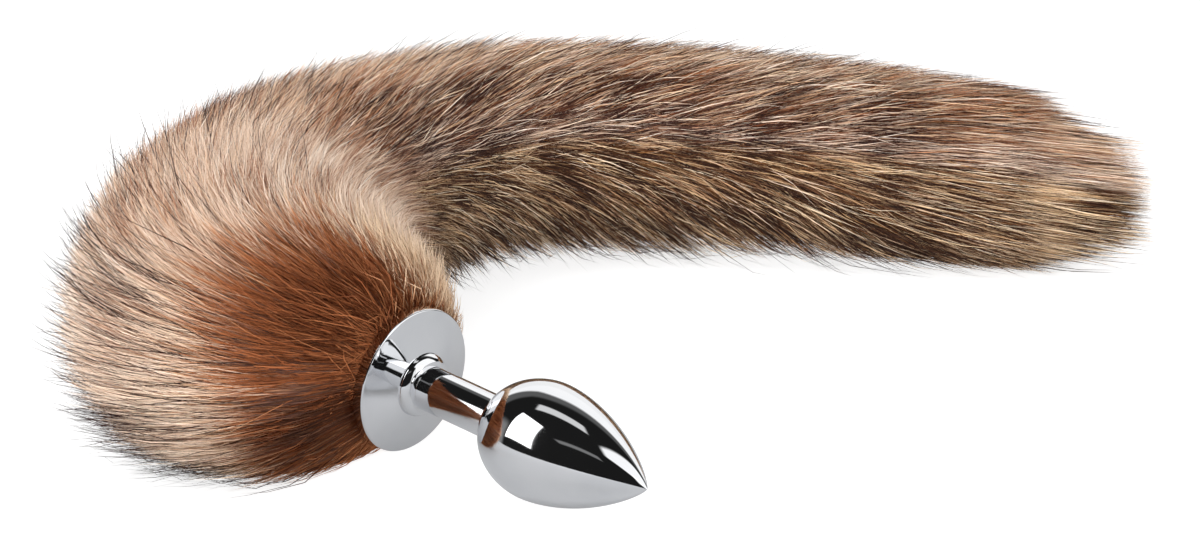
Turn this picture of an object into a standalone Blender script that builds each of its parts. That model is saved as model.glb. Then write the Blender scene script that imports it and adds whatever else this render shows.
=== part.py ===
"""A fox tail plug in metres: a turned metal plug, a hidden post and a long fur tail laid in a bend.

The plug lies on its rim and its bulb, and the tail leaves the back of its flange, bends round and
runs off to the right. The floor is at zero and the middle of the whole part is over the origin.
"""
import math
import random
from collections import namedtuple

import bmesh
import bpy
from mathutils import Vector

# The turned plug, from the flat back of its flange to its tip
FLANGE_RADIUS = 0.0168
RIM_THICKNESS = 0.0029
RIM_ROUNDING = 0.0004
CONE_RADIUS = 0.0074
CONE_RISE = 0.0022
NECK_RADIUS = 0.0051
NECK_LENGTH = 0.0225
BULB_RADIUS = 0.0135
BULB_SHOULDER = 0.0144
BULB_NOSE = 0.0298
NOSE_SWELL = 1.75
NOSE_POINT = 0.86
PLUG_STEPS = 32
HEADING = -42.0

# The hidden post between the flange and the core of the fur
POST_RADIUS = 0.0030
SOCKET_DEPTH = 0.0022
BORE_DEPTH = 0.0120
CLEARANCE = 0.0003

# The outer form of the fur
TAIL_SPAN = 0.172
BEND_DEPTH = 0.122
FUR_WIDTH = 0.090
FUR_HEIGHT = 0.060
ROOT_INSET = 0.0014
FLAT_SHARE = 0.07

# The locks of fur, in staggered rows down the tail
LOCK_ROWS = 24
LOCKS_ROUND = 14
POINTS_A_LOCK = 4
LOCK_DIP = 0.10
LOCK_RIDGE = 0.032
LOCK_REACH = 0.28
REACH_LEAST = 0.70
REACH_MOST = 1.15
BACK_PLACE = 0.35
SMOOTH_END = 0.78
LOCK_SEED = 7

# How far down the fur's side the locks reach, as the sine of the angle round it
SMOOTH_BELOW = -0.80
SHAGGY_ABOVE = -0.45

# Where the tail goes, seen from above. across and back are shares of TAIL_SPAN and BEND_DEPTH from
# the middle of the flange's back, heading is in degrees, wide and high are shares of FUR_WIDTH and
# FUR_HEIGHT.
Station = namedtuple("Station", "across back heading wide high")
STATIONS = (
    Station(-0.078, -0.06, 141, 0.85, 0.81),
    Station(-0.169, 0.01, 131, 1.00, 0.93),
    Station(-0.218, 0.17, 118, 0.96, 0.98),
    Station(-0.224, 0.33, 102, 0.84, 0.98),
    Station(-0.209, 0.49, 86, 0.82, 0.96),
    Station(-0.155, 0.66, 66, 0.77, 0.94),
    Station(-0.058, 0.83, 47, 0.71, 0.92),
    Station(0.093, 0.97, 26, 0.61, 0.89),
    Station(0.273, 1.02, 8, 0.56, 0.86),
    Station(0.506, 1.00, -2, 0.56, 0.82),
    Station(0.692, 0.96, -4, 0.54, 0.77),
    Station(0.855, 0.93, -6, 0.46, 0.64),
    Station(0.948, 0.92, -6, 0.34, 0.46),
    Station(1.000, 0.91, -6, 0.13, 0.18),
)

# One cross-section of the fur, in metres and radians
Section = namedtuple("Section", "x y heading half_width half_height middle tilt")
SAMPLES_A_SPAN = 12

METAL = ((0.80, 0.80, 0.82), 0.08, 1.0)
POST_METAL = ((0.55, 0.55, 0.57), 0.35, 1.0)
FUR = ((0.36, 0.22, 0.13), 0.9, 0.0)


def make_material(name, look):
    colour, roughness, metallic = look
    material = bpy.data.materials.new(name)
    material.use_nodes = True
    shader = material.node_tree.nodes["Principled BSDF"]
    shader.inputs["Base Color"].default_value = (*colour, 1.0)
    shader.inputs["Roughness"].default_value = roughness
    shader.inputs["Metallic"].default_value = metallic
    material.diffuse_color = (*colour, 1.0)
    return material


def add_object(name, mesh, parts, parent, material):
    """Put a mesh into the part's collection under its own name and material."""
    thing = bpy.data.objects.new(name, mesh)
    mesh.materials.append(material)
    parts.objects.link(thing)
    thing.parent = parent
    return thing


def plug_profile():
    """Radius and distance from the flange's back, from the socket's floor to the tip."""
    socket_radius = POST_RADIUS + CLEARANCE
    cone_top = RIM_THICKNESS + CONE_RISE
    points = [
        (0.0, SOCKET_DEPTH),
        (socket_radius, SOCKET_DEPTH),
        (socket_radius, 0.0),
        (FLANGE_RADIUS - RIM_ROUNDING, 0.0),
        (FLANGE_RADIUS, RIM_ROUNDING),
        (FLANGE_RADIUS, RIM_THICKNESS - RIM_ROUNDING),
        (FLANGE_RADIUS - RIM_ROUNDING, RIM_THICKNESS),
        (CONE_RADIUS, cone_top),
    ]
    fillet = CONE_RADIUS - NECK_RADIUS
    for step in range(1, 5):
        angle = math.pi / 2 * step / 4
        points.append((CONE_RADIUS - fillet * (1 - math.cos(angle)), cone_top + fillet * math.sin(angle)))
    bulb_start = cone_top + NECK_LENGTH
    # The shoulder is an ellipse that starts just as wide as the neck
    reach = BULB_SHOULDER / math.sqrt(1 - (NECK_RADIUS / BULB_RADIUS) ** 2)
    for step in range(9):
        angle = math.asin(BULB_SHOULDER / reach) * (1 - step / 8)
        points.append((BULB_RADIUS * math.cos(angle), bulb_start + BULB_SHOULDER - reach * math.sin(angle)))
    for step in range(1, 13):
        share = math.sin(math.pi / 2 * step / 12)
        radius = BULB_RADIUS * (1 - share**NOSE_SWELL) ** NOSE_POINT
        points.append((radius, bulb_start + BULB_SHOULDER + BULB_NOSE * share))
    return points


def plug_pose(profile):
    """How far the plug droops, and how high its flange is, as it lies on its rim and its bulb."""
    widest = RIM_THICKNESS + CONE_RISE + NECK_LENGTH + BULB_SHOULDER
    droop = math.atan2(FLANGE_RADIUS - BULB_RADIUS, widest - RIM_THICKNESS)
    height = max(along * math.sin(droop) + radius * math.cos(droop) for radius, along in profile)
    return droop, height


def back_of_plug(droop):
    """The direction from the tip to the flange, which is also the way the fur starts."""
    heading = math.radians(HEADING)
    return -Vector((math.cos(heading) * math.cos(droop), math.sin(heading) * math.cos(droop), -math.sin(droop)))


def turn_profile(mesh, profile):
    """A profile in the XZ plane, which the Screw modifier turns about Z."""
    vertices = [(radius, 0.0, -along) for radius, along in profile]
    edges = [(index, index + 1) for index in range(len(vertices) - 1)]
    mesh.from_pydata(vertices, edges, [])


def make_plug(parts, parent, height, direction, profile):
    mesh = bpy.data.meshes.new("plug")
    turn_profile(mesh, profile)
    plug = add_object("plug", mesh, parts, parent, make_material("polished_metal", METAL))
    screw = plug.modifiers.new("turned", "SCREW")
    screw.axis = "Z"
    screw.steps = PLUG_STEPS
    screw.render_steps = PLUG_STEPS
    screw.use_merge_vertices = True
    screw.merge_threshold = 0.00001
    plug.location = (0.0, 0.0, height)
    plug.rotation_euler = direction.to_track_quat("Z", "Y").to_euler()
    return plug


def make_post(parts, parent, height, direction):
    """A plain pin, clear of the socket in the flange and of the bore in the fur."""
    mesh = bpy.data.meshes.new("tail_post")
    post = add_object("tail_post", mesh, parts, parent, make_material("post_metal", POST_METAL))
    length = SOCKET_DEPTH + BORE_DEPTH - CLEARANCE
    shape = bmesh.new()
    bmesh.ops.create_cone(
        shape, cap_ends=True, segments=24, radius1=POST_RADIUS, radius2=POST_RADIUS, depth=length
    )
    shape.to_mesh(mesh)
    shape.free()
    middle = (BORE_DEPTH + CLEARANCE - SOCKET_DEPTH) / 2
    post.location = Vector((0.0, 0.0, height)) + direction * middle
    post.rotation_euler = direction.to_track_quat("Z", "Y").to_euler()
    return post


def fur_sections(height, direction, droop):
    """The root ring against the flange, then the table's stations at real size."""
    root = Vector((0.0, 0.0, height)) + direction * CLEARANCE
    radius = FLANGE_RADIUS - ROOT_INSET
    heading = math.radians(HEADING) + math.pi
    sections = [Section(root.x, root.y, heading, radius, radius, root.z, droop)]
    for row in STATIONS:
        tall = FUR_HEIGHT * row.high / (2 - FLAT_SHARE)
        sections.append(
            Section(
                TAIL_SPAN * row.across,
                BEND_DEPTH * row.back,
                math.radians(row.heading),
                FUR_WIDTH * row.wide / 2,
                tall,
                tall * (1 - FLAT_SHARE),
                0.0,
            )
        )
    return sections


def blend(before, start, end, after, share):
    """A smooth curve through four sections, between the middle two."""
    values = []
    for a, b, c, d in zip(before, start, end, after):
        bend = 2 * a - 5 * b + 4 * c - d
        twist = 3 * b - a - 3 * c + d
        values.append(0.5 * (2 * b + (c - a) * share + bend * share**2 + twist * share**3))
    return Section(*values)


class FurPath:
    """The sections as one smooth path, read by distance along it."""

    def __init__(self, sections):
        first, last = sections[0], sections[-1]
        chain = [first, *sections, last]
        self.samples = []
        for index in range(len(sections) - 1):
            for step in range(SAMPLES_A_SPAN):
                self.samples.append(blend(*chain[index:index + 4], step / SAMPLES_A_SPAN))
        self.samples.append(last)
        self.along = [0.0]
        for one, two in zip(self.samples, self.samples[1:]):
            self.along.append(self.along[-1] + math.hypot(two.x - one.x, two.y - one.y))
        self.length = self.along[-1]

    def at(self, distance):
        distance = min(max(distance, 0.0), self.length)
        index = 0
        while index < len(self.along) - 2 and self.along[index + 1] < distance:
            index += 1
        share = (distance - self.along[index]) / (self.along[index + 1] - self.along[index])
        pair = zip(self.samples[index], self.samples[index + 1])
        return Section(*(one + (two - one) * share for one, two in pair))

    def point(self, distance, angle, swell):
        """A point of the skin: angle is 0 on the right and a quarter turn at the top."""
        place = self.at(distance)
        right = Vector((math.sin(place.heading), -math.cos(place.heading), 0.0))
        lean = math.sin(place.tilt)
        up = Vector((-math.cos(place.heading) * lean, -math.sin(place.heading) * lean, math.cos(place.tilt)))
        sideways = place.half_width * swell * math.cos(angle)
        upward = place.half_height * swell * math.sin(angle)
        spot = Vector((place.x, place.y, place.middle)) + right * sideways + up * upward
        spot.z = max(spot.z, 0.0)
        return spot


def shagginess(angle):
    """0 on the flattened underside, where the locks lie smooth, and 1 from the sides up."""
    share = (math.sin(angle) - SMOOTH_BELOW) / (SHAGGY_ABOVE - SMOOTH_BELOW)
    share = min(max(share, 0.0), 1.0)
    return share * share * (3 - 2 * share)


def lock_rings(path):
    """Three rings a row: the root of each lock, its back, and its pointed free end."""
    chance = random.Random(LOCK_SEED)
    count = LOCKS_ROUND * POINTS_A_LOCK
    angles = [2 * math.pi * index / count for index in range(count)]
    pitch = path.length / LOCK_ROWS
    rings = []
    for row in range(LOCK_ROWS):
        stagger = POINTS_A_LOCK // 2 * (row % 2)
        reaches = [chance.uniform(REACH_LEAST, REACH_MOST) for lock in range(LOCKS_ROUND)]
        root, back, end = [], [], []
        for index, angle in enumerate(angles):
            place = (index + stagger) % count
            shaggy = shagginess(angle)
            # 1 along the middle of a lock and -1 in the cleft beside it
            crest = 1 - abs(place % POINTS_A_LOCK - POINTS_A_LOCK / 2) * 4 / POINTS_A_LOCK
            reach = LOCK_REACH * reaches[place // POINTS_A_LOCK]
            dip = LOCK_DIP * shaggy if row else 0.0
            ridge = LOCK_RIDGE * shaggy
            root.append(path.point(pitch * row, angle, 1 - dip))
            swell = 1 - dip * (1 - 2 * BACK_PLACE) + ridge * crest
            back.append(path.point(pitch * (row + BACK_PLACE), angle, swell))
            free = SMOOTH_END + shaggy * (1 - SMOOTH_END + reach * crest)
            end.append(path.point(pitch * (row + free), angle, 1 + ridge * (0.5 + crest)))
        rings += [root, back, end]
    return rings


def bore_rings(height, direction):
    """The blind bore for the post, as two rings from its floor to its mouth."""
    count = LOCKS_ROUND * POINTS_A_LOCK
    right = Vector((-direction.y, direction.x, 0.0)).normalized() * -1
    up = right.cross(direction)
    rings = []
    for depth in (BORE_DEPTH + 2 * CLEARANCE, CLEARANCE):
        middle = Vector((0.0, 0.0, height)) + direction * depth
        ring = []
        for index in range(count):
            angle = 2 * math.pi * index / count
            radius = POST_RADIUS + CLEARANCE
            ring.append(middle + right * radius * math.cos(angle) + up * radius * math.sin(angle))
        rings.append(ring)
    return rings


def loft(mesh, rings, start, end):
    """Join rings of equal count into one closed skin with a point at each end."""
    shape = bmesh.new()
    rows = [[shape.verts.new(spot) for spot in ring] for ring in rings]
    for one, two in zip(rows, rows[1:]):
        for index in range(len(one)):
            after = (index + 1) % len(one)
            shape.faces.new((one[index], two[index], two[after], one[after]))
    first = shape.verts.new(start)
    last = shape.verts.new(end)
    for index in range(len(rows[0])):
        after = (index + 1) % len(rows[0])
        shape.faces.new((first, rows[0][index], rows[0][after]))
        shape.faces.new((last, rows[-1][after], rows[-1][index]))
    bmesh.ops.triangulate(shape, faces=shape.faces[:])
    bmesh.ops.recalc_face_normals(shape, faces=shape.faces[:])
    shape.to_mesh(mesh)
    shape.free()


def make_fur(parts, parent, height, direction, droop):
    mesh = bpy.data.meshes.new("fur_tail")
    fur = add_object("fur_tail", mesh, parts, parent, make_material("fox_fur", FUR))
    path = FurPath(fur_sections(height, direction, droop))
    bore_floor = Vector((0.0, 0.0, height)) + direction * (BORE_DEPTH + 2 * CLEARANCE)
    tip = path.point(path.length, 0.0, 0.0)
    loft(mesh, bore_rings(height, direction) + lock_rings(path), bore_floor, tip)
    return fur


def centre_over_origin(parent, things):
    """Move the parent so that the whole part stands over the origin."""
    bpy.context.view_layer.update()
    corners = []
    graph = bpy.context.evaluated_depsgraph_get()
    for thing in things:
        solid = thing.evaluated_get(graph)
        corners += [solid.matrix_world @ vertex.co for vertex in solid.data.vertices]
    for axis in (0, 1):
        spread = [corner[axis] for corner in corners]
        parent.location[axis] = -(min(spread) + max(spread)) / 2


def main():
    for thing in list(bpy.data.objects):
        bpy.data.objects.remove(thing, do_unlink=True)
    parts = bpy.data.collections.new("fox_tail_plug")
    bpy.context.scene.collection.children.link(parts)
    parent = bpy.data.objects.new("fox_tail_plug_frame", None)
    parts.objects.link(parent)

    profile = plug_profile()
    droop, height = plug_pose(profile)
    direction = back_of_plug(droop)
    plug = make_plug(parts, parent, height, direction, profile)
    post = make_post(parts, parent, height, direction)
    fur = make_fur(parts, parent, height, direction, droop)
    centre_over_origin(parent, (plug, post, fur))


main()
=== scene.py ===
"""A polished metal plug with a long fur tail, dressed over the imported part.

The plug is turned finely as a mirror, and the fur is made of joined ribbons: each strand leaves a
thin core inside the tail and ends on the outer form that the part has.
"""
import math
from collections import namedtuple

import bpy
import numpy as np
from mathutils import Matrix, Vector


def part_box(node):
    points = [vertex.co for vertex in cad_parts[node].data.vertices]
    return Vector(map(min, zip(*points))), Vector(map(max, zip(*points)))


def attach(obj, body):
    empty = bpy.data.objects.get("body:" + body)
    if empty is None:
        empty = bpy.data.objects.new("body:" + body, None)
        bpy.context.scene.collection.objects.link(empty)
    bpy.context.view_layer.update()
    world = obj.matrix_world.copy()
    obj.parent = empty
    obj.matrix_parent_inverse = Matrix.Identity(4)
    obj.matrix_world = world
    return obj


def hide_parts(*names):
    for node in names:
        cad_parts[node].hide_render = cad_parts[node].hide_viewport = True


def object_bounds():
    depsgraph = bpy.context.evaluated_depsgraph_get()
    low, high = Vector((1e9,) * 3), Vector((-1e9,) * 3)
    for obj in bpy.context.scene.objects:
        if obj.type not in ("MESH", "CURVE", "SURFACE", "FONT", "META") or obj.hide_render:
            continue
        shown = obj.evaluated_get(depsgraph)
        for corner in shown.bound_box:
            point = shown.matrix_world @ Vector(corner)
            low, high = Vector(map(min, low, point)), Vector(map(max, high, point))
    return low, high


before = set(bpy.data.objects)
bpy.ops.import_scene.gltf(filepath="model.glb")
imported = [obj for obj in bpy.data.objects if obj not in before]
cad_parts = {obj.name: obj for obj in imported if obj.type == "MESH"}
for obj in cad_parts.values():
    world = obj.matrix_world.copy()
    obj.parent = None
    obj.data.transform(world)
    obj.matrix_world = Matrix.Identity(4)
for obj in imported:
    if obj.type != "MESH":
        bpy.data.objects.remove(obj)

CAD_LOW, CAD_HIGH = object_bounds()

# ---------- The part's own sizes, in metres and degrees ----------

FLANGE_RADIUS = 0.0168
RIM_THICKNESS = 0.0029
RIM_ROUNDING = 0.0004
CONE_RADIUS = 0.0074
CONE_RISE = 0.0022
NECK_RADIUS = 0.0051
NECK_LENGTH = 0.0225
BULB_RADIUS = 0.0135
BULB_SHOULDER = 0.0144
BULB_NOSE = 0.0298
NOSE_SWELL = 1.75
NOSE_POINT = 0.86
HEADING = -42.0
POST_RADIUS = 0.0030
SOCKET_DEPTH = 0.0022
BORE_DEPTH = 0.0120
CLEARANCE = 0.0003
TAIL_SPAN = 0.172
BEND_DEPTH = 0.122
FUR_WIDTH = 0.090
FUR_HEIGHT = 0.060
ROOT_INSET = 0.0014
FLAT_SHARE = 0.07

# across, back, heading, wide and high of each station down the tail
STATIONS = (
    (-0.078, -0.06, 141, 0.85, 0.81),
    (-0.169, 0.01, 131, 1.00, 0.93),
    (-0.218, 0.17, 118, 0.96, 0.98),
    (-0.224, 0.33, 102, 0.84, 0.98),
    (-0.209, 0.49, 86, 0.82, 0.96),
    (-0.155, 0.66, 66, 0.77, 0.94),
    (-0.058, 0.83, 47, 0.71, 0.92),
    (0.093, 0.97, 26, 0.61, 0.89),
    (0.273, 1.02, 8, 0.56, 0.86),
    (0.506, 1.00, -2, 0.56, 0.82),
    (0.692, 0.96, -4, 0.54, 0.77),
    (0.855, 0.93, -6, 0.46, 0.64),
    (0.948, 0.92, -6, 0.34, 0.46),
    (1.000, 0.91, -6, 0.13, 0.18),
)
SAMPLES_A_SPAN = 12

# ---------- The camera and the picture ----------

EYE = (-0.0125, -0.9986, 0.4204)
TARGET = (-0.0034, -0.0232, 0.0317)
LENS = 138.6
SENSOR = 36.0


def clear_scene_extras():
    for light in [o for o in bpy.data.objects if o.type in {"LIGHT", "CAMERA"}]:
        bpy.data.objects.remove(light, do_unlink=True)


def make_camera():
    data = bpy.data.cameras.new("camera")
    data.lens = LENS
    data.sensor_width = SENSOR
    data.sensor_fit = "HORIZONTAL"
    data.clip_start = 0.01
    camera = bpy.data.objects.new("camera", data)
    camera.location = EYE
    camera.rotation_euler = (Vector(TARGET) - Vector(EYE)).to_track_quat("-Z", "Y").to_euler()
    bpy.context.scene.collection.objects.link(camera)
    bpy.context.scene.camera = camera


# ---------- Small helpers for nodes ----------

class Nodes:
    """A node tree with short calls for the nodes that the materials and the world use."""

    def __init__(self, tree):
        self.tree = tree

    def add(self, kind, **settings):
        node = self.tree.nodes.new(kind)
        for name, value in settings.items():
            setattr(node, name, value)
        return node

    def link(self, source, target):
        self.tree.links.new(source, target)

    def feed(self, socket, value):
        if isinstance(value, bpy.types.NodeSocket):
            self.link(value, socket)
        else:
            socket.default_value = value

    def math(self, operation, one, two=None, clamp=False):
        node = self.add("ShaderNodeMath", operation=operation, use_clamp=clamp)
        self.feed(node.inputs[0], one)
        if two is not None:
            self.feed(node.inputs[1], two)
        return node.outputs[0]

    def step(self, value, low, high, start=0.0, end=1.0):
        """A smooth step from start to end as value goes from low to high."""
        node = self.add("ShaderNodeMapRange", interpolation_type="SMOOTHSTEP")
        self.feed(node.inputs["Value"], value)
        for name, number in (("From Min", low), ("From Max", high), ("To Min", start), ("To Max", end)):
            node.inputs[name].default_value = number
        return node.outputs["Result"]

    def mix(self, share, one, two):
        node = self.add("ShaderNodeMix", data_type="RGBA")
        self.feed(node.inputs[0], share)
        self.feed(node.inputs[6], one)
        self.feed(node.inputs[7], two)
        return node.outputs[2]

    def noise(self, vector, scale, detail=3.0, roughness=0.5):
        node = self.add("ShaderNodeTexNoise")
        self.link(vector, node.inputs["Vector"])
        node.inputs["Scale"].default_value = scale
        node.inputs["Detail"].default_value = detail
        node.inputs["Roughness"].default_value = roughness
        return node.outputs["Fac"]

    def stretched(self, vector, scale):
        node = self.add("ShaderNodeMapping")
        self.link(vector, node.inputs["Vector"])
        node.inputs["Scale"].default_value = scale
        return node.outputs["Vector"]

    def ramp(self, value, stops):
        node = self.add("ShaderNodeValToRGB")
        self.link(value, node.inputs["Fac"])
        elements = node.color_ramp.elements
        while len(elements) < len(stops):
            elements.new(0.5)
        for element, (place, colour) in zip(elements, stops):
            element.position = place
            element.color = (*colour, 1.0)
        return node.outputs["Color"]

    def bump(self, height, strength, distance):
        node = self.add("ShaderNodeBump")
        node.inputs["Strength"].default_value = strength
        node.inputs["Distance"].default_value = distance
        self.link(height, node.inputs["Height"])
        return node.outputs["Normal"]


def new_material(name):
    material = bpy.data.materials.new(name)
    material.use_nodes = True
    nodes = Nodes(material.node_tree)
    shader = material.node_tree.nodes["Principled BSDF"]
    return material, nodes, shader


# ---------- Materials ----------

def chrome_material():
    """Mirror polish, with faint polishing marks and a slight grey cast that varies in soft patches."""
    material, nodes, shader = new_material("mirror_metal")
    place = nodes.add("ShaderNodeTexCoord").outputs["Object"]
    cloud = nodes.noise(place, 90.0, 4.0)
    nodes.link(nodes.ramp(cloud, ((0.3, (0.80, 0.81, 0.83)), (0.7, (0.86, 0.865, 0.88)))), shader.inputs["Base Color"])
    nodes.link(nodes.step(cloud, 0.3, 0.75, 0.025, 0.06), shader.inputs["Roughness"])
    marks = nodes.noise(nodes.stretched(place, (1.0, 1.0, 1.0)), 700.0, 2.0)
    nodes.link(nodes.bump(marks, 0.02, 0.00004), shader.inputs["Normal"])
    shader.inputs["Metallic"].default_value = 1.0
    return material


def post_material():
    material, nodes, shader = new_material("turned_post_metal")
    place = nodes.add("ShaderNodeTexCoord").outputs["Object"]
    grain = nodes.noise(nodes.stretched(place, (1.0, 1.0, 12.0)), 220.0, 3.0)
    nodes.link(nodes.ramp(grain, ((0.3, (0.47, 0.47, 0.49)), (0.7, (0.62, 0.62, 0.64)))), shader.inputs["Base Color"])
    nodes.link(nodes.step(grain, 0.3, 0.7, 0.28, 0.42), shader.inputs["Roughness"])
    nodes.link(nodes.bump(grain, 0.2, 0.0001), shader.inputs["Normal"])
    shader.inputs["Metallic"].default_value = 1.0
    return material


# The lightness of a strand runs from black to light cream, in three families of hue
LIGHTNESS = (0.0, 0.15, 0.30, 0.50, 0.70, 0.88, 1.0)
REDDISH = (
    (0.012, 0.008, 0.008), (0.076, 0.030, 0.018), (0.215, 0.078, 0.041), (0.420, 0.188, 0.100),
    (0.650, 0.385, 0.220), (0.840, 0.620, 0.420), (0.940, 0.790, 0.630),
)
GREYISH = (
    (0.012, 0.009, 0.009), (0.060, 0.032, 0.027), (0.168, 0.088, 0.064), (0.360, 0.212, 0.150),
    (0.600, 0.415, 0.305), (0.800, 0.620, 0.490), (0.920, 0.800, 0.690),
)
GOLDEN = (
    (0.012, 0.008, 0.007), (0.064, 0.031, 0.019), (0.175, 0.080, 0.037), (0.360, 0.190, 0.092),
    (0.610, 0.365, 0.180), (0.840, 0.600, 0.350), (0.930, 0.780, 0.580),
)
RICHER = (1.22, 1.22, 1.22, 1.18, 1.02, 0.95, 0.95)
HAIR_MAP = "OFBake"


def richer(family):
    """The same colours, the darker ones further from grey."""
    rich = []
    for colour, amount in zip(family, RICHER):
        grey = sum(colour) / 3
        rich.append(tuple(max(0.004, grey + (part - grey) * amount) for part in colour))
    return rich


def hair_material():
    """Colour comes from the strand's place on the palette: across is hue and up is lightness."""
    material, nodes, shader = new_material("fox_hair")
    palette = nodes.add("ShaderNodeUVMap", uv_map=HAIR_MAP).outputs["UV"]
    split = nodes.add("ShaderNodeSeparateXYZ")
    nodes.link(palette, split.inputs[0])
    across, up = split.outputs["X"], split.outputs["Y"]
    ramps = [nodes.ramp(up, tuple(zip(LIGHTNESS, richer(family)))) for family in (REDDISH, GREYISH, GOLDEN)]
    first = nodes.mix(nodes.step(across, 0.05, 0.5), ramps[0], ramps[1])
    both = nodes.mix(nodes.step(across, 0.5, 0.95), first, ramps[2])
    grain = nodes.noise(nodes.stretched(palette, (1.0, 0.25, 1.0)), 60.0, 2.0)
    tone = nodes.ramp(grain, ((0.3, (0.90, 0.90, 0.90)), (0.7, (1.0, 1.0, 1.0))))
    varied = nodes.add("ShaderNodeMix", data_type="RGBA", blend_type="MULTIPLY")
    varied.inputs[0].default_value = 1.0
    nodes.link(both, varied.inputs[6])
    nodes.link(tone, varied.inputs[7])
    nodes.link(varied.outputs[2], shader.inputs["Base Color"])
    nodes.link(nodes.step(up, 0.0, 0.6, 0.38, 0.58), shader.inputs["Roughness"])
    shader.inputs["Specular IOR Level"].default_value = 0.07
    return material


def core_material():
    """Dark, streaky shade seen only between the strands."""
    material, nodes, shader = new_material("fur_shade")
    place = nodes.add("ShaderNodeTexCoord").outputs["Object"]
    streaks = nodes.noise(nodes.stretched(place, (0.3, 1.0, 1.0)), 420.0, 4.0)
    shades = ((0.25, (0.045, 0.022, 0.014)), (0.55, (0.110, 0.055, 0.030)), (0.8, (0.200, 0.115, 0.065)))
    nodes.link(nodes.ramp(streaks, shades), shader.inputs["Base Color"])
    nodes.link(nodes.bump(streaks, 0.6, 0.0006), shader.inputs["Normal"])
    nodes.link(nodes.step(streaks, 0.2, 0.8, 0.95, 0.8), shader.inputs["Roughness"])
    shader.inputs["Specular IOR Level"].default_value = 0.1
    return material


# ---------- Where the plug lies ----------

def plug_profile(fine):
    """Radius and distance from the flange's back, from the socket's floor to the tip."""
    socket_radius = POST_RADIUS + CLEARANCE
    cone_top = RIM_THICKNESS + CONE_RISE
    points = [
        (0.0, SOCKET_DEPTH),
        (socket_radius, SOCKET_DEPTH),
        (socket_radius, 0.0),
    ]
    rounding = 3 * fine
    for step in range(rounding + 1):
        angle = math.pi / 2 * step / rounding
        points.append((
            FLANGE_RADIUS - RIM_ROUNDING * (1 - math.sin(angle)), RIM_ROUNDING * (1 - math.cos(angle))
        ))
    for step in range(rounding + 1):
        angle = math.pi / 2 * step / rounding
        points.append((
            FLANGE_RADIUS - RIM_ROUNDING * (1 - math.cos(angle)),
            RIM_THICKNESS - RIM_ROUNDING * (1 - math.sin(angle)),
        ))
    # The face rises in a shallow cone to the rounded foot of the neck
    edge = FLANGE_RADIUS - RIM_ROUNDING
    for step in range(1, 9):
        share = step / 8
        points.append((edge + (CONE_RADIUS - edge) * share, RIM_THICKNESS + CONE_RISE * share))
    fillet = CONE_RADIUS - NECK_RADIUS
    for step in range(1, 4 * fine + 1):
        angle = math.pi / 2 * step / (4 * fine)
        points.append((CONE_RADIUS - fillet * (1 - math.cos(angle)), cone_top + fillet * math.sin(angle)))
    bulb_start = cone_top + NECK_LENGTH
    for step in range(1, 6):
        points.append((NECK_RADIUS, cone_top + fillet + (NECK_LENGTH - fillet) * step / 6))
    reach = BULB_SHOULDER / math.sqrt(1 - (NECK_RADIUS / BULB_RADIUS) ** 2)
    for step in range(8 * fine + 1):
        angle = math.asin(BULB_SHOULDER / reach) * (1 - step / (8 * fine))
        points.append((BULB_RADIUS * math.cos(angle), bulb_start + BULB_SHOULDER - reach * math.sin(angle)))
    for step in range(1, 12 * fine + 1):
        share = math.sin(math.pi / 2 * step / (12 * fine))
        radius = BULB_RADIUS * max(0.0, 1 - share**NOSE_SWELL) ** NOSE_POINT
        points.append((radius, bulb_start + BULB_SHOULDER + BULB_NOSE * share))
    return points


def plug_pose(profile):
    """How far the plug droops, and how high its flange is, as it lies on its rim and its bulb."""
    widest = RIM_THICKNESS + CONE_RISE + NECK_LENGTH + BULB_SHOULDER
    droop = math.atan2(FLANGE_RADIUS - BULB_RADIUS, widest - RIM_THICKNESS)
    height = max(along * math.sin(droop) + radius * math.cos(droop) for radius, along in profile)
    return droop, height


DROOP, HEIGHT = plug_pose(plug_profile(1))
FORWARD = np.array((
    math.cos(math.radians(HEADING)) * math.cos(DROOP),
    math.sin(math.radians(HEADING)) * math.cos(DROOP),
    -math.sin(DROOP),
))
POST_LOW, POST_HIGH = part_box("tail_post")
POST_MIDDLE = np.array((POST_LOW + POST_HIGH) / 2)
# The middle of the flange's back. The fur starts there and goes the other way.
FLANGE_BACK = POST_MIDDLE + FORWARD * (BORE_DEPTH + CLEARANCE - SOCKET_DEPTH) / 2
DISC_FACE = FLANGE_BACK + FORWARD * RIM_THICKNESS


# ---------- The path of the fur ----------

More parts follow.
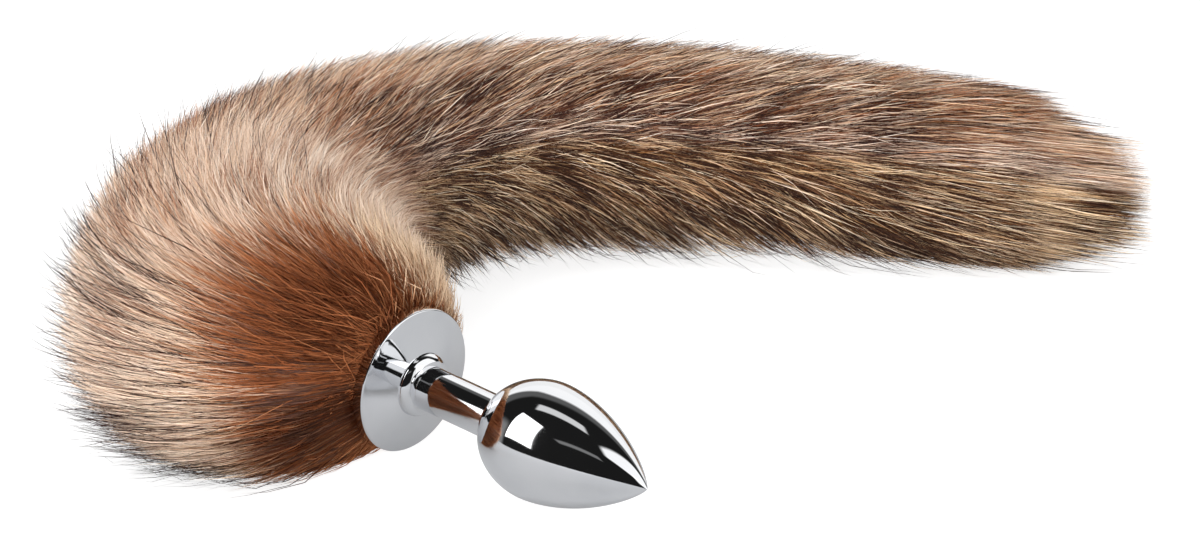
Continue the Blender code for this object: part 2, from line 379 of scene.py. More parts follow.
class FurPath:
    """The part's sections as one smooth path, read for whole arrays of distances at once."""

    def __init__(self):
        root = FLANGE_BACK - FORWARD * CLEARANCE
        radius = FLANGE_RADIUS - ROOT_INSET
        heading = math.radians(HEADING) + math.pi
        rows = [(root[0], root[1], heading, radius, radius, root[2], DROOP)]
        for across, back, turn, wide, high in STATIONS:
            tall = FUR_HEIGHT * high / (2 - FLAT_SHARE)
            rows.append((
                FLANGE_BACK[0] + TAIL_SPAN * across, FLANGE_BACK[1] + BEND_DEPTH * back,
                math.radians(turn), FUR_WIDTH * wide / 2, tall, tall * (1 - FLAT_SHARE), 0.0,
            ))
        chain = np.array([rows[0], *rows, rows[-1]])
        samples = []
        for index in range(len(rows) - 1):
            a, b, c, d = chain[index:index + 4]
            for step in range(SAMPLES_A_SPAN):
                t = step / SAMPLES_A_SPAN
                samples.append(0.5 * (
                    2 * b + (c - a) * t + (2 * a - 5 * b + 4 * c - d) * t**2 + (3 * b - a - 3 * c + d) * t**3
                ))
        samples.append(chain[-1])
        self.samples = np.array(samples)
        runs = np.hypot(np.diff(self.samples[:, 0]), np.diff(self.samples[:, 1]))
        self.along = np.concatenate(([0.0], np.cumsum(runs)))
        self.length = self.along[-1]
        self.straighten_the_end()

    def straighten_the_end(self):
        """Strands keep on past the rounded end instead of closing in with the skin."""
        start = HAIR_END_START * self.length
        past = np.clip((self.along - start) / (self.length - start), 0.0, 1.0)
        lay = self.samples.copy()
        for column, least in ((3, HAIR_END_WIDE), (4, HAIR_END_HIGH), (5, HAIR_END_MIDDLE)):
            before = np.interp(start, self.along, lay[:, column])
            goal = before * (1 - (1 - least) * past**1.5)
            lay[:, column] = np.where(past > 0, np.maximum(lay[:, column], goal), lay[:, column])
        full = lay.copy()
        cap = (1 - past**CAP_SQUARE) ** CAP_ROUND
        for column in (3, 4):
            full[:, column] = np.maximum(lay[:, column] * cap, 0.0004)
        last = lay[-1].copy()
        last[0] += PAST_END * math.cos(last[2])
        last[1] += PAST_END * math.sin(last[2])
        self.tables = {
            "skin": (self.samples, self.along),
            "lay": (np.vstack((lay, last)), np.append(self.along, self.length + PAST_END)),
            "ends": (full, self.along),
        }

    def at(self, distance, kind="skin"):
        table, along = self.tables[kind]
        return [np.interp(distance, along, table[:, column]) for column in range(7)]

    def frame(self, place):
        x, y, heading, wide, high, middle, tilt = place
        level = np.zeros_like(x)
        centre = np.stack((x, y, middle), -1)
        right = np.stack((np.sin(heading), -np.cos(heading), level), -1)
        lean = np.sin(tilt)
        up = np.stack((-np.cos(heading) * lean, -np.sin(heading) * lean, np.cos(tilt)), -1)
        return centre, right, up

    def skin(self, distance, angle, swell, kind="skin"):
        """A point of the skin: angle is 0 on the right and a quarter turn at the top."""
        place = self.at(distance, kind)
        centre, right, up = self.frame(place)
        sideways = (place[3] * swell * np.cos(angle))[..., None]
        upward = (place[4] * swell * np.sin(angle))[..., None]
        return centre + right * sideways + up * upward

    def lay_place(self, distance, spot):
        """The angle and swell, among the strands, of a spot at this distance."""
        place = self.at(distance, "lay")
        centre, right, up = self.frame(place)
        away = spot - centre
        across = np.sum(away * right, -1) / place[3]
        above = np.sum(away * up, -1) / place[4]
        return np.arctan2(above, across), np.hypot(across, above)


HAIR_END_START = 0.80
HAIR_END_WIDE = 0.77
HAIR_END_HIGH = 0.86
HAIR_END_MIDDLE = 0.72
CAP_SQUARE = 3.4
CAP_ROUND = 0.55
PAST_END = 0.030
PATH = FurPath()
NEAR_END = 0.105


# ---------- Meshes from arrays ----------

def mesh_from(name, spots, faces, material, smooth=True):
    mesh = bpy.data.meshes.new(name)
    mesh.from_pydata([tuple(spot) for spot in spots], [], faces)
    mesh.materials.append(material)
    if smooth:
        mesh.polygons.foreach_set("use_smooth", np.ones(len(mesh.polygons), dtype=bool))
    mesh.update()
    thing = bpy.data.objects.new(name, mesh)
    bpy.context.scene.collection.objects.link(thing)
    return thing


def unit(vectors):
    length = np.linalg.norm(vectors, axis=-1, keepdims=True)
    return vectors / np.maximum(length, 1e-12)


def make_plug(material):
    """The plug's profile turned in fine steps about its own axis."""
    profile = plug_profile(3)
    steps = 128
    axis = FORWARD
    side = unit(np.cross(axis, (0.0, 0.0, 1.0)))
    top = np.cross(side, axis)
    spots, faces, rings = [], [], []
    for radius, along in profile:
        middle = FLANGE_BACK + axis * along
        if radius < 1e-6:
            rings.append([len(spots)])
            spots.append(middle)
            continue
        ring = []
        for step in range(steps):
            angle = 2 * math.pi * step / steps
            ring.append(len(spots))
            spots.append(middle + (side * math.cos(angle) + top * math.sin(angle)) * radius)
        rings.append(ring)
    for one, two in zip(rings, rings[1:]):
        for step in range(steps):
            after = (step + 1) % steps
            if len(one) == 1:
                faces.append((one[0], two[after], two[step]))
            elif len(two) == 1:
                faces.append((one[step], one[after], two[0]))
            else:
                faces.append((one[step], one[after], two[after], two[step]))
    plug = mesh_from("turned_plug", spots, faces, material)
    mesh = plug.data
    mesh.set_sharp_from_angle(angle=math.radians(28))
    return plug


def make_core(material):
    """The shade inside the fur: the tail's form, drawn in, with a slightly uneven skin."""
    rows, count = 150, 72
    rng = np.random.default_rng(3)
    distance = np.linspace(0.0012, PATH.length * 0.88, rows)
    angle = np.linspace(0, 2 * math.pi, count, endpoint=False)
    uneven = rng.normal(0, 0.012, (rows, count))
    drawn_in = np.interp(distance, (0, 0.004, 0.02, 0.24, PATH.length * 0.82, PATH.length * 0.88), CORE_SWELLS)
    grid = PATH.skin(distance[:, None] + 0 * angle, angle + 0 * distance[:, None], drawn_in[:, None] + uneven)
    grid[..., 2] = np.maximum(grid[..., 2], 0.0006)
    spots = list(grid.reshape(-1, 3))
    faces = []
    for row in range(rows - 1):
        for step in range(count):
            after = (step + 1) % count
            faces.append((row * count + step, (row + 1) * count + step, (row + 1) * count + after, row * count + after))
    for row in (0, rows - 1):
        middle = len(spots)
        spots.append(grid[row].mean(axis=0))
        for step in range(count):
            after = (step + 1) % count
            pair = (row * count + step, row * count + after)
            faces.append((middle, *pair) if row == 0 else (middle, *pair[::-1]))
    return mesh_from("fur_core", spots, faces, material)


CORE_SWELLS = (0.80, 0.62, 0.74, 0.78, 0.60, 0.12)


Strands = namedtuple("Strands", "spots out width hue light")
# Where along the tail each look gives the run of its strands
RUN_PLACES = (0.0, 0.06, 0.09, 0.12, 0.16, 0.22)
END_TUFT = 0.006


def ribbon_piece(name, strands, material, rng):
    """Join strands into one mesh of thin flat ribbons that each end in a point."""
    spots, out, width, hue, light = strands
    count, points = spots.shape[:2]
    along = unit(np.gradient(spots, axis=1))
    side = unit(np.cross(along, out))
    roll = rng.uniform(-ROLL, ROLL, (count, 1, 1))
    side = side * np.cos(roll) + np.cross(along, side) * np.sin(roll)
    half = (width / 2)[..., None] * side
    left, right = spots - half, spots + half
    each = 2 * points - 1
    corners = np.empty((count, each, 3))
    corners[:, 0:each - 1:2] = left[:, :-1]
    corners[:, 1:each - 1:2] = right[:, :-1]
    corners[:, each - 1] = spots[:, -1]
    own = unit(np.cross(side, along))
    soft = unit(out * (1 - OWN_NORMAL) + own * OWN_NORMAL + rng.normal(0, NORMAL_JITTER, (count, 1, 3)))
    normals = np.empty_like(corners)
    normals[:, 0:each - 1:2] = soft[:, :-1]
    normals[:, 1:each - 1:2] = soft[:, :-1]
    normals[:, each - 1] = soft[:, -1]
    tones = np.empty((count, each, 2))
    tones[:, 0:each - 1:2, 0] = hue[:, None] - HUE_HALF
    tones[:, 1:each - 1:2, 0] = hue[:, None] + HUE_HALF
    tones[:, each - 1, 0] = hue
    tones[:, 0:each - 1:2, 1] = light[:, :-1]
    tones[:, 1:each - 1:2, 1] = light[:, :-1]
    tones[:, each - 1, 1] = light[:, -1]

    quads = [(2 * k, 2 * k + 1, 2 * k + 3, 2 * k + 2) for k in range(points - 2)]
    pattern = np.array([corner for quad in quads for corner in quad] + [each - 3, each - 2, each - 1])
    sizes = np.array([4] * (points - 2) + [3])
    loops = (pattern[None, :] + (np.arange(count) * each)[:, None]).ravel()
    totals = np.tile(sizes, count)
    starts = np.concatenate(([0], np.cumsum(totals)[:-1]))

    mesh = bpy.data.meshes.new(name)
    mesh.vertices.add(count * each)
    mesh.vertices.foreach_set("co", corners.astype(np.float32).ravel())
    mesh.loops.add(len(loops))
    mesh.loops.foreach_set("vertex_index", loops.astype(np.int32))
    mesh.polygons.add(len(starts))
    mesh.polygons.foreach_set("loop_start", starts.astype(np.int32))
    mesh.polygons.foreach_set("use_smooth", np.ones(len(starts), dtype=bool))
    layer = mesh.uv_layers.new(name=HAIR_MAP)
    tones = np.clip(tones.reshape(-1, 2), 0.002, 0.998)
    layer.uv.foreach_set("vector", tones[loops].astype(np.float32).ravel())
    mesh.update(calc_edges=True)
    mesh.materials.append(material)
    mesh.normals_split_custom_set_from_vertices(normals.reshape(-1, 3))
    thing = bpy.data.objects.new(name, mesh)
    bpy.context.scene.collection.objects.link(thing)
    return thing


ROLL = math.radians(60)
OWN_NORMAL = 0.35
NORMAL_JITTER = 0.12
HUE_HALF = 0.004


# ---------- Where strands grow ----------

def scatter(count, low, high, rng):
    """Even places over the skin, as distance and angle, in step with its girth."""
    index = np.arange(count) + rng.uniform(0, 1000)
    share = (index * 0.7548776662) % 1.0
    ladder = np.linspace(low, high, 200)
    place = PATH.at(ladder)
    girth = np.cumsum(place[3] + place[4])
    girth = (girth - girth[0]) / (girth[-1] - girth[0])
    distance = np.interp(share, girth, ladder)
    angle = 2 * math.pi * ((index * 0.5698402910) % 1.0)
    underneath = (np.sin(angle) < -0.75) & (rng.uniform(0, 1, count) > 0.4)
    angle = np.where(underneath, rng.uniform(-0.8, math.pi + 0.8, count), angle)
    return distance, angle


def patches(seed, rows, columns):
    """A smooth random field over the skin, from 0 to 1, as a function of distance and angle."""
    rng = np.random.default_rng(seed)
    grid = rng.uniform(0, 1, (rows + 1, columns))

    def read(distance, angle):
        row = np.clip(distance / PATH.length, 0, 0.9999) * rows
        column = (angle / (2 * math.pi)) % 1.0 * columns
        r, c = np.floor(row).astype(int), np.floor(column).astype(int)
        fr, fc = row - r, column - c
        fr, fc = fr * fr * (3 - 2 * fr), fc * fc * (3 - 2 * fc)
        c, nxt = c % columns, (c + 1) % columns
        top = grid[r, c] * (1 - fc) + grid[r, nxt] * fc
        low = grid[r + 1, c] * (1 - fc) + grid[r + 1, nxt] * fc
        return top * (1 - fr) + low * fr

    return read


def smooth(value, low, high):
    share = np.clip((value - low) / (high - low), 0, 1)
    return share * share * (3 - 2 * share)


def lay_strands(clumps, each, rng, look):
    """Strands that leave the core in a loose tuft and draw together at the skin.

    look gives the tuft's spread, the swell of the tips, the core's radius, the bulge and the run of the strands.
    """
    distance, angle = clumps
    which = np.repeat(np.arange(len(distance)), each)
    total = len(which)
    wide = PATH.at(distance, "lay")[3][which]
    limit = look.get("limit", 0.0) + PATH.length
    s1 = distance[which] + rng.normal(0, look["tip_along"], total)
    s1 = np.where(s1 > limit, 2 * limit - s1, np.maximum(s1, look["least"]))
    s1 = s1 + np.where(s1 > PATH.length - END_TUFT, rng.uniform(-END_TUFT, END_TUFT, total), 0.0)
    around = rng.normal(0, 1, total)
    a1 = angle[which] + around * look["tip_across"] / wide
    clump_swell = look["rise"][which] if "rise" in look else rng.uniform(*look["swell"], len(distance))[which]
    rise = clump_swell + rng.normal(0, look["swell_jitter"], total)
    form = look.get("form", "ends")
    tip = PATH.skin(s1, a1, rise, form)
    past = np.maximum(s1 - PATH.length, 0.0) * (form == "ends")
    last = PATH.samples[-1, 2]
    tip = tip + past[:, None] * np.array((math.cos(last), math.sin(last), 0.0))
    a1, rho1 = PATH.lay_place(s1, tip)
    run = np.interp(s1, RUN_PLACES, look["run"]) * rng.uniform(0.85, 1.15, total)
    run = run * (1 + 0.5 * smooth(s1, 0.78 * PATH.length, 0.95 * PATH.length))
    s0 = np.maximum(s1 - run, 0.0010 + 0.04 * rng.uniform(0, 1, total) * s1)
    a0 = fanned(a1, s1) + rng.normal(0, look["root_across"], total)
    place = PATH.at(s0, "lay")
    girth0 = np.sqrt(place[3] * place[4])
    rho0 = look["core"] * rng.uniform(0.85, 1.15, total) / girth0
    rho0 = np.minimum(rho0, 0.80 * rho1 + 0.1)
    rho0 = rho0 + (0.84 * rho1 - rho0) * look.get("steady", 0.0)
    root = PATH.skin(s0, a0, rho0, "lay")
    root[:, 2] = np.maximum(root[:, 2], 0.0015)
    sm = s0 + (s1 - s0) * 0.5
    turn = (a1 - a0 + math.pi) % (2 * math.pi) - math.pi
    am = a0 + turn * 0.5
    bulge = look["bulge"] * rng.uniform(0.3, 1.3, total)
    place = PATH.at(sm, "lay")
    girthm = np.sqrt(place[3] * place[4])
    end = PATH.at(s1, "lay")
    girth1 = np.sqrt(end[3] * end[4])
    middle = rho0 * girth0 + (rho1 * girth1 - rho0 * girth0) * (0.5 + bulge)
    rhom = np.minimum(middle / girthm, 0.97)
    mid = PATH.skin(sm, am, rhom, "lay") + rng.normal(0, look["kink"], (total, 3))
    t = np.array(look["steps"])[None, :, None]
    spots = (
        root[:, None] * (1 - t) * (1 - 2 * t) + mid[:, None] * 4 * t * (1 - t) + tip[:, None] * t * (2 * t - 1)
    )
    spots = keep_clear(spots, rng)
    shares = np.array(look["steps"])[None, :]
    s = s0[:, None] + (s1 - s0)[:, None] * shares
    place = PATH.at(s)
    centre, right, up = PATH.frame(place)
    away = spots - centre
    out = (
        right * (np.sum(away * right, -1) / place[3]**2)[..., None]
        + up * (np.sum(away * up, -1) / place[4]**2)[..., None]
    )
    return spots, unit(out), which, s1, a1, s


def fanned(angle, distance):
    """Where round the core a strand starts: down the far run they part from the middle of each side."""
    turned = (angle + math.pi) % (2 * math.pi) - math.pi
    middle = np.where(np.abs(turned) < math.pi / 2, math.radians(FAN_MIDDLE), math.pi - math.radians(FAN_MIDDLE))
    away = (turned - middle + math.pi) % (2 * math.pi) - math.pi
    share = FAN_SHARE * smooth(distance, 0.100, 0.150)
    share = share * (1 - smooth(distance, 0.80 * PATH.length, 0.92 * PATH.length))
    share = share * (1 - smooth(np.sin(angle), 0.72, 0.98))
    return turned - away * share


FAN_MIDDLE = 28.0
FAN_SHARE = 0.55


def keep_clear(spots, rng):
    """Hold every strand above the floor, inside the allowed box and behind the flange."""
    floor = 0.0003 + 0.0009 * rng.uniform(0, 1, (len(spots), 1))
    spots[..., 2] = np.maximum(spots[..., 2], floor)
    away = spots - FLANGE_BACK
    ahead = away @ FORWARD
    beside = np.linalg.norm(away - ahead[..., None] * FORWARD, axis=-1)
    limit = -0.0004 + PAST_RIM * np.maximum(beside - FLANGE_RADIUS - 0.003, 0.0)
    limit = limit + 4.0 * np.maximum(beside - BESIDE_PLUG, 0.0)
    spots = spots - FORWARD * np.maximum(ahead - limit, 0.0)[..., None]
    return shortened(spots)


# How much further forward strands may come for each metre out from the flange's rim
PAST_RIM = 0.08
BESIDE_PLUG = 0.046

# How far past the part's box strands may reach, in metres, at the low and at the high end
BEYOND_LOW = np.array((0.0088, 0.0045, 0.0))
BEYOND_HIGH = np.array((0.0082, 0.0075, 0.0075))


def shortened(spots):
    """Draw in the strands that would reach past the allowed box."""
    low = np.array(CAD_LOW) - BEYOND_LOW
    high = np.array(CAD_HIGH) + BEYOND_HIGH
    low[2] = -1.0
    root, tip = spots[:, 0], spots[:, -1]
    reach = tip - root
    room = np.where(reach > 0, high - root, root - low)
    share = np.min(room / np.maximum(np.abs(reach), 1e-6), axis=1)
    share = np.clip(share, 0.05, 1.0)[:, None, None]
    return root[:, None] + (spots - root[:, None]) * share


# ---------- Colours of strands ----------

ZONES = patches(11, 30, 9)
FINE_ZONES = patches(12, 75, 26)
STREAKS = patches(13, 40, 44)


def left_rim(distance):
    """The angle round the tail, in degrees, where the near mass has its dark-tipped left rim."""
    return 231.0 - 650.0 * (np.clip(distance, 0.04, 0.12) - 0.050)


# How far from the disc the chestnut ends, by the angle round the tail
CHESTNUT_EDGE = (
    (0, 0.031), (30, 0.032), (60, 0.038), (85, 0.043), (100, 0.047), (125, 0.056), (145, 0.057),
    (175, 0.053), (200, 0.047), (230, 0.041), (270, 0.038), (330, 0.032), (360, 0.031),
)


def tones(spots, s, s1, a1, which, rng, look):
    """Hue and lightness for each strand: chestnut by the flange, then tan, then grizzled."""
    total = len(s1)
    clump = which.max() + 1
    clump_noise = rng.normal(0, 1, clump)[which]
    own = rng.normal(0, 1, total)
    t = np.array(look["steps"])[None, :]
    far = smooth(s1 + 0.006 * own, NEAR_END - 0.022, NEAR_END + 0.022)

    # Near the flange
    away = np.linalg.norm(spots - DISC_FACE, axis=-1)
    edge = np.interp(np.degrees(a1) % 360, *zip(*CHESTNUT_EDGE))
    edge = edge + 0.0036 * clump_noise + 0.0018 * own
    past = smooth(away - edge[:, None], -0.002, 0.004)
    zone = ZONES(s1, a1)
    fine = FINE_ZONES(s1, a1)
    streak = STREAKS(s1, a1)
    inner = 0.37 - 0.10 * smooth(away[:, -1], 0.026, 0.046) + 0.03 * clump_noise + 0.045 * own + 0.08 * (zone - 0.5)
    # The chestnut strands underneath are made lighter: painted light on the underside, which sits in shade.
    inner = np.where(rng.uniform(0, 1, total) < 0.10, inner + 0.10, inner) + 0.13 * smooth(-np.sin(a1), 0.2, 0.8)
    outer = 0.79 + 0.05 * clump_noise + 0.05 * own + 0.12 * (zone - 0.5)
    # Towards the lower left the outer strands are made lighter: painted light on that side.
    outer = outer + 0.09 * np.maximum(0.0, np.cos(a1 - math.radians(200)))
    outer = outer + 0.07 * smooth(np.cos(a1 - math.radians(50)), 0.3, 0.9)
    upper = smooth(np.sin(a1), 0.1, 0.8)
    dark_share = 0.10 + 0.50 * upper * smooth(streak, 0.35, 0.7)
    outer = np.where(rng.uniform(0, 1, total) < dark_share, outer - rng.uniform(0.2, 0.42, total), outer)
    near_light = inner[:, None] * (1 - past) + outer[:, None] * past
    near_hue = np.where(
        past[:, -2] > 0.5, 0.60 - 0.22 * smooth(s1, 0.030, 0.060) + 0.08 * own, 0.03 + 0.05 * np.abs(own)
    )
    rim = smooth(s1, 0.035, 0.05) * smooth(-np.abs(np.degrees(a1) % 360 - left_rim(s1)), -26, -10)
    black = rng.uniform(0, 1, total) < 0.05 * smooth(s1, 0.030, 0.06) + 0.50 * rim
    near_light = np.where(black[:, None] & (t > 0.8), 0.04, near_light)
    inside = smooth(np.cos(a1 - math.radians(25)), 0.55, 0.9) * (1 - smooth(s1, 0.035, 0.055)) * smooth(away[:, -1], 0.017, 0.022)
    pale = rng.uniform(0, 1, total) < 0.95 * inside
    near_light = np.where(pale[:, None], near_light + (0.88 - near_light) * smooth(t, 0.30, 0.65), near_light)

    # Down the far run: dark roots, a golden band and dark tips
    band = 0.625 + 0.06 * clump_noise + 0.09 * own + 0.16 * (zone - 0.5)
    # Underneath, the golden band is made lighter: painted light on the underside of the far run.
    band = band + 0.085 * smooth(-np.sin(a1), -0.1, 0.5)
    root = 0.13 + 0.04 * own
    profile = root[:, None] + (band - root)[:, None] * smooth(t, 0.05, 0.45)
    tipped = rng.uniform(0, 1, total) < 0.50 + 0.6 * (0.60 - fine)
    darkness = rng.uniform(0.01, 0.18, total)
    ends = smooth(t, 0.50, 0.90)
    profile = np.where(tipped[:, None], profile * (1 - ends) + darkness[:, None] * ends, profile + 0.06 * ends)
    dark = rng.uniform(0, 1, total) < 0.24 + 0.50 * smooth(0.48 - fine, 0, 0.20)
    profile = np.where(dark[:, None], profile * 0.28, profile)
    top = smooth(np.sin(a1), 0.45, 0.9)
    # The very top of the far run is lightened towards cream, a painted rim light along the top edge; near the end the
    # upper side is lightened as well.
    crown = smooth(np.sin(a1), 0.90, 0.98)
    crown = np.maximum(crown, 0.9 * smooth(np.sin(a1), 0.5, 0.8) * smooth(s1, PATH.length - 0.05, PATH.length - 0.02))
    profile = profile + (0.80 - profile) * (0.55 * crown * (rng.uniform(0, 1, total) < 0.75))[:, None]
    # Towards the top the hue turns from golden to greyish: a painted reflection of the white above.
    far_hue = 0.82 - 0.44 * smooth(np.sin(a1), 0.30, 0.62) + 0.08 * own
    far_hue = np.where(rng.uniform(0, 1, total) < 0.50 * top, 0.08, far_hue)

    light = near_light * (1 - far)[:, None] + profile * far[:, None]
    hue = near_hue * (1 - far) + far_hue * far
    if "tone" in look:
        start, end = look["tone"]
        plain = rng.uniform(*start, total)[:, None] * (1 - smooth(t, 0.1, 0.5)) + rng.uniform(*end, total)[:, None] * smooth(t, 0.1, 0.5)
        light = plain + 0 * light
    return np.clip(hue, 0.006, 0.994), np.clip(light, 0.01, 0.99)


def grow(name, clumps, each, rng, look, material):
    spots, out, which, s1, a1, s = lay_strands(clumps, each, rng, look)
    hue, light = tones(spots, s, s1, a1, which, rng, look)
    shape = np.interp(look["steps"], (0, 0.3, 0.7, 1.0), (0.8, 1.0, 0.85, 0.0))
    size = look["width"] * rng.uniform(0.7, 1.35, len(s1)) * (0.72 + 0.28 * smooth(s1, 0.015, 0.05))
    width = size[:, None] * shape[None, :]
    return ribbon_piece(name, Strands(spots, out, width, hue, light), material, rng)


NEAR_RUN = (0.050, 0.038, 0.033, 0.028, 0.028, 0.032)
NEAR_LOOK = {
    "tip_along": 0.0042, "tip_across": 0.0011, "root_across": 0.16, "swell": (0.91, 1.06),
    "swell_jitter": 0.035, "core": 0.0118, "bulge": 0.07, "run": NEAR_RUN,
    "kink": 0.0005, "steps": (0.0, 0.35, 0.62, 0.84, 1.0), "width": 0.00029, "least": 0.002,
}
FAR_LOOK = {
    "form": "lay", "limit": -0.015,
    "tip_along": 0.0040, "tip_across": 0.0009, "root_across": 0.13, "swell": (0.92, 1.07),
    "swell_jitter": 0.035, "core": 0.0105, "bulge": 0.05, "run": NEAR_RUN,
    "kink": 0.0004, "steps": (0.0, 0.42, 0.74, 1.0), "width": 0.00026, "least": 0.002,
}
UNDER_LOOK = {
    "tip_along": 0.0060, "tip_across": 0.0050, "root_across": 0.30, "swell": (0.84, 0.98),
    "swell_jitter": 0.04, "core": 0.0130, "bulge": 0.08, "run": (0.026, 0.024, 0.022, 0.020, 0.020, 0.020),
    "kink": 0.0012, "steps": (0.0, 0.55, 1.0), "width": 0.00030, "least": 0.002,
}
# Single hairs that lie on top, dark or light from root to tip
TOP_LOOK = {
    "form": "lay", "limit": -0.012,
    "tip_along": 0.0060, "tip_across": 0.0040, "root_across": 0.12, "swell": (1.00, 1.07),
    "swell_jitter": 0.025, "core": 0.0140, "bulge": 0.22, "run": (0.045, 0.040, 0.036, 0.032, 0.030, 0.030),
    "kink": 0.0007, "steps": (0.0, 0.42, 0.74, 1.0), "width": 0.00022, "least": 0.03,
}
# Fine fuzz along the top of the tail: its pale tone is a painted rim light along the top edge.
FUZZ_LOOK = {
    "tip_along": 0.0050, "tip_across": 0.0030, "root_across": 0.20, "swell": (0.97, 1.07),
    "swell_jitter": 0.03, "core": 0.0130, "bulge": 0.10, "run": (0.035, 0.030, 0.028, 0.026, 0.026, 0.026),
    "kink": 0.0009, "steps": (0.0, 0.42, 0.74, 1.0), "width": 0.00019, "least": 0.03,
    "tone": ((0.30, 0.55), (0.72, 0.97)),
}
GUARD_LOOK = {
    "tip_along": 0.0050, "tip_across": 0.0025, "root_across": 0.20, "swell": (1.05, 1.24),
    "swell_jitter": 0.06, "core": 0.0110, "bulge": 0.03, "run": (0.056, 0.044, 0.042, 0.038, 0.036, 0.040),
    "kink": 0.0016, "steps": (0.0, 0.35, 0.62, 0.84, 1.0), "width": 0.00024, "least": 0.02,
    "tone": ((0.3, 0.5), (0.01, 0.10)),
}


def region(count, distances, degrees, rng):
    """Random places in one stretch of the skin."""
    return rng.uniform(*distances, count), np.radians(rng.uniform(*degrees, count))


def joined(*groups):
    return np.concatenate([g[0] for g in groups]), np.concatenate([g[1] for g in groups])


def domed(count, past, drop, rng):
    """Tuft places whose tips spread over the rounded end of the tail: the middle ones reach furthest."""
    out = np.sqrt(rng.uniform(0, 1, count))
    return (PATH.length + past - drop * out**3, rng.uniform(0, 2 * math.pi, count)), out * 0.98


END_LOOK = {"form": "lay", "limit": 0.020, "steady": 0.9}


def make_fur(material):
    """All the strands, in pieces small enough to handle on their own."""
    rng = np.random.default_rng(21)
    pieces = []
    for index in range(3):
        clumps = scatter(1080, 0.0015, NEAR_END + 0.03, rng)
        pieces.append(grow(f"near_fur_{index + 1}", clumps, 18, rng, NEAR_LOOK, material))
    for index in range(2):
        clumps = scatter(1480, NEAR_END - 0.03, PATH.length - 0.012, rng)
        pieces.append(grow(f"far_fur_{index + 1}", clumps, 18, rng, FAR_LOOK, material))
    clumps = scatter(6500, 0.0015, PATH.length - 0.01, rng)
    pieces.append(grow("underfur", clumps, 4, rng, UNDER_LOOK, material))
    length = PATH.length
    clumps = scatter(1900, 0.10, length, rng)
    pieces.append(grow("dark_hairs", clumps, 3, rng, TOP_LOOK | {"tone": ((0.1, 0.3), (0.01, 0.12))}, material))
    clumps = scatter(1500, 0.06, length, rng)
    pieces.append(grow("light_hairs", clumps, 2, rng, TOP_LOOK | {"tone": ((0.4, 0.7), (0.72, 0.98))}, material))
    # The crown fuzz, pale towards its tips: a painted rim light along the top edge.
    clumps = scatter(2600, 0.06, length, rng)
    crown = (clumps[0], np.radians(rng.normal(93, 13, len(clumps[0]))))
    pieces.append(grow("crown_fuzz", crown, 3, rng, FUZZ_LOOK, material))
    rim_places = rng.uniform(0.036, 0.118, 800)
    clumps = joined(
        (rim_places, np.radians(left_rim(rim_places) + rng.normal(0, 14, 800))),
        region(230, (0.022, 0.080), (130, 250), rng),
        region(90, (0.060, 0.130), (60, 150), rng),
        region(90, (0.110, length - 0.03), (60, 115), rng),
        region(170, (0.130, length - 0.02), (300, 345), rng),
        region(130, (length - 0.030, length + 0.004), (-70, 200), rng),
        region(60, (0.040, length), (150, 240), rng),
    )
    pieces.append(grow("guard_hairs", clumps, 4, rng, GUARD_LOOK, material))
    clumps, rise = domed(520, 0.0012, 0.024, rng)
    pieces.append(grow("end_tuft", clumps, 14, rng, FAR_LOOK | END_LOOK | {"rise": rise}, material))
    clumps, rise = domed(330, 0.0042, 0.025, rng)
    pale = {"rise": rise, "tone": ((0.32, 0.52), (0.70, 0.97))}
    pieces.append(grow("end_fuzz", clumps, 12, rng, FAR_LOOK | END_LOOK | pale, material))
    clumps, rise = domed(150, 0.0085, 0.020, rng)
    pieces.append(grow("end_hairs", clumps, 3, rng, GUARD_LOOK | END_LOOK | {"rise": rise}, material))
    return pieces


# ---------- The studio ----------

# What the metal mirrors. Each panel is a convex outline in degrees away from straight overhead, to the
# right and away from the camera, then its edge softness and its brightness.
PANELS = (
    (((-77, -12), (-35, 1), (-27, -20), (-62, -47)), 1.0, 3.0),
    (((-20, 5), (-13, 14), (13, 5.5), (11, -5)), 1.2, 0.72),
    (((-27, -35), (1, -39), (1, -45), (-26, -40)), 1.2, 0.20),
    (((-33, 34), (4, 36), (32, 23), (54, 26), (66, 60), (75, 112), (-60, 112), (-45, 60)), 3.0, 1.0),
    (((-45, 22), (0, 25), (33, 15), (50, 15), (60, 60), (-50, 60)), 3.5, 0.10),
    (((47, 17), (14, -15), (11, -29), (95, -60), (110, 30)), 2.0, 1.15),
    (((14, -30), (28, -50), (22, -105), (110, -105), (110, -20)), 2.5, 1.0),
    (((-105, 24), (-62, 18), (-60, -2), (-80, -10), (-105, -14)), 6.0, 0.22),
)


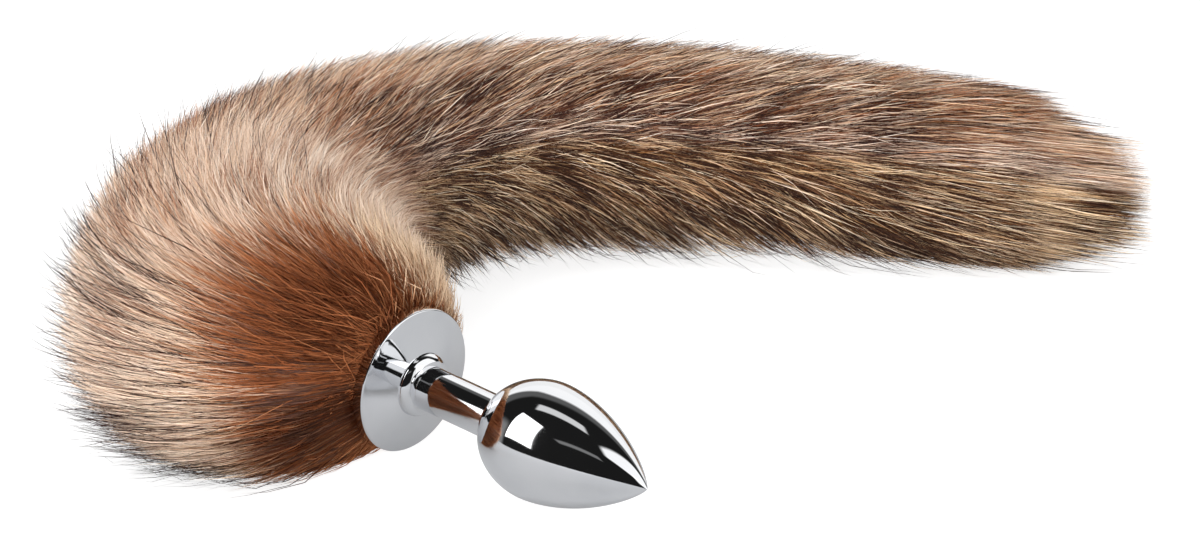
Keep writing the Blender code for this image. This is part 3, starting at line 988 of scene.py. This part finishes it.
def make_world():
    world = bpy.data.worlds.new("studio")
    world.use_nodes = True
    bpy.context.scene.world = world
    nodes = Nodes(world.node_tree)
    background = world.node_tree.nodes["Background"]
    way = nodes.add("ShaderNodeTexCoord").outputs["Generated"]
    split = nodes.add("ShaderNodeSeparateXYZ")
    nodes.link(way, split.inputs[0])
    x, y, z = split.outputs
    degrees = nodes.math("MULTIPLY", nodes.math("ARCCOSINE", z), 180 / math.pi)
    level = nodes.math("SQRT", nodes.math("ADD", nodes.math("MULTIPLY", x, x), nodes.math("MULTIPLY", y, y)))
    spread = nodes.math("DIVIDE", degrees, nodes.math("MAXIMUM", level, 1e-5))
    across = nodes.math("MULTIPLY", x, spread)
    away = nodes.math("MULTIPLY", y, spread)
    total = None
    for outline, soft, bright in PANELS:
        middle = np.mean(outline, axis=0)
        mask = None
        for start, end in zip(outline, outline[1:] + outline[:1]):
            start, end = np.array(start, float), np.array(end, float)
            inward = np.array((start[1] - end[1], end[0] - start[0])) / np.linalg.norm(end - start)
            if np.dot(middle - start, inward) < 0:
                inward = -inward
            depth = nodes.math(
                "ADD", nodes.math("MULTIPLY", across, float(inward[0])),
                nodes.math("MULTIPLY", away, float(inward[1])),
            )
            edge = float(np.dot(start, inward))
            inside = nodes.step(depth, edge - soft, edge + soft)
            mask = inside if mask is None else nodes.math("MULTIPLY", mask, inside)
        lit = nodes.math("MULTIPLY", mask, bright)
        total = lit if total is None else nodes.math("ADD", total, lit)
    total = nodes.math("ADD", total, 0.012)
    seen = nodes.add("ShaderNodeLightPath").outputs["Is Camera Ray"]
    nodes.link(nodes.mix(seen, total, (1.0, 1.0, 1.0, 1.0)), background.inputs["Color"])
    background.inputs["Strength"].default_value = 1.0


def area_light(name, place, aim, size, power, colour=(1.0, 1.0, 1.0)):
    data = bpy.data.lights.new(name, "AREA")
    data.shape = "RECTANGLE"
    data.size, data.size_y = size
    data.energy = power
    data.color = colour
    light = bpy.data.objects.new(name, data)
    light.location = place
    light.rotation_euler = (Vector(aim) - Vector(place)).to_track_quat("-Z", "Y").to_euler()
    light.visible_glossy = False
    bpy.context.scene.collection.objects.link(light)


def make_floor():
    material, nodes, shader = new_material("studio_floor")
    place = nodes.add("ShaderNodeTexCoord").outputs["Object"]
    cloud = nodes.noise(place, 3.0, 2.0)
    # The floor glows: the camera sees it evenly white and it lights the fur from below, while glossy rays see it
    # darker, a painted shade in the metal's reflection of the floor.
    seen = nodes.add("ShaderNodeLightPath").outputs["Is Camera Ray"]
    lit = nodes.ramp(cloud, ((0.3, (0.33, 0.33, 0.335)), (0.7, (0.35, 0.35, 0.35))))
    mirrored = nodes.ramp(cloud, ((0.3, (0.24, 0.245, 0.255)), (0.7, (0.26, 0.265, 0.275))))
    nodes.link(nodes.mix(seen, mirrored, lit), shader.inputs["Base Color"])
    shader.inputs["Roughness"].default_value = 0.9
    shader.inputs["Specular IOR Level"].default_value = 0.1
    shader.inputs["Emission Color"].default_value = (1.0, 1.0, 1.0, 1.0)
    glossy = nodes.add("ShaderNodeLightPath").outputs["Is Glossy Ray"]
    glow = nodes.math("ADD", nodes.step(seen, 0.0, 1.0, 0.62, 0.84), nodes.step(glossy, 0.0, 1.0, 0.0, -0.40))
    nodes.link(glow, shader.inputs["Emission Strength"])
    size = 4.0
    corners = [(-size, -size, 0.0), (size, -size, 0.0), (size, size, 0.0), (-size, size, 0.0)]
    floor = mesh_from("floor", corners, [(0, 1, 2, 3)], material, smooth=False)
    floor.location.z = -0.0002


# ---------- Everything together ----------

def main():
    clear_scene_extras()
    make_camera()
    make_world()
    make_floor()
    area_light("key", (-0.60, -0.45, 1.10), (0.0, 0.02, 0.02), (0.9, 0.7), 11.5)
    area_light("front", (-0.40, -1.30, 0.38), (-0.02, 0.0, 0.03), (1.1, 0.5), 23.0)
    area_light("back", (0.35, 0.9, 0.8), (0.0, 0.05, 0.03), (1.2, 0.5), 5.0)

    plug = make_plug(chrome_material())
    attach(plug, "root")
    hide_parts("plug")

    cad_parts["tail_post"].material_slots[0].material = post_material()

    core = make_core(core_material())
    for piece in [core, *make_fur(hair_material())]:
        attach(piece, "root")
        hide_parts("fur_tail")

    scene = bpy.context.scene
    scene.view_settings.view_transform = "Standard"
    scene.view_settings.look = "None"
    scene.view_settings.exposure = 0.0
    scene.view_settings.gamma = 1.0


main()
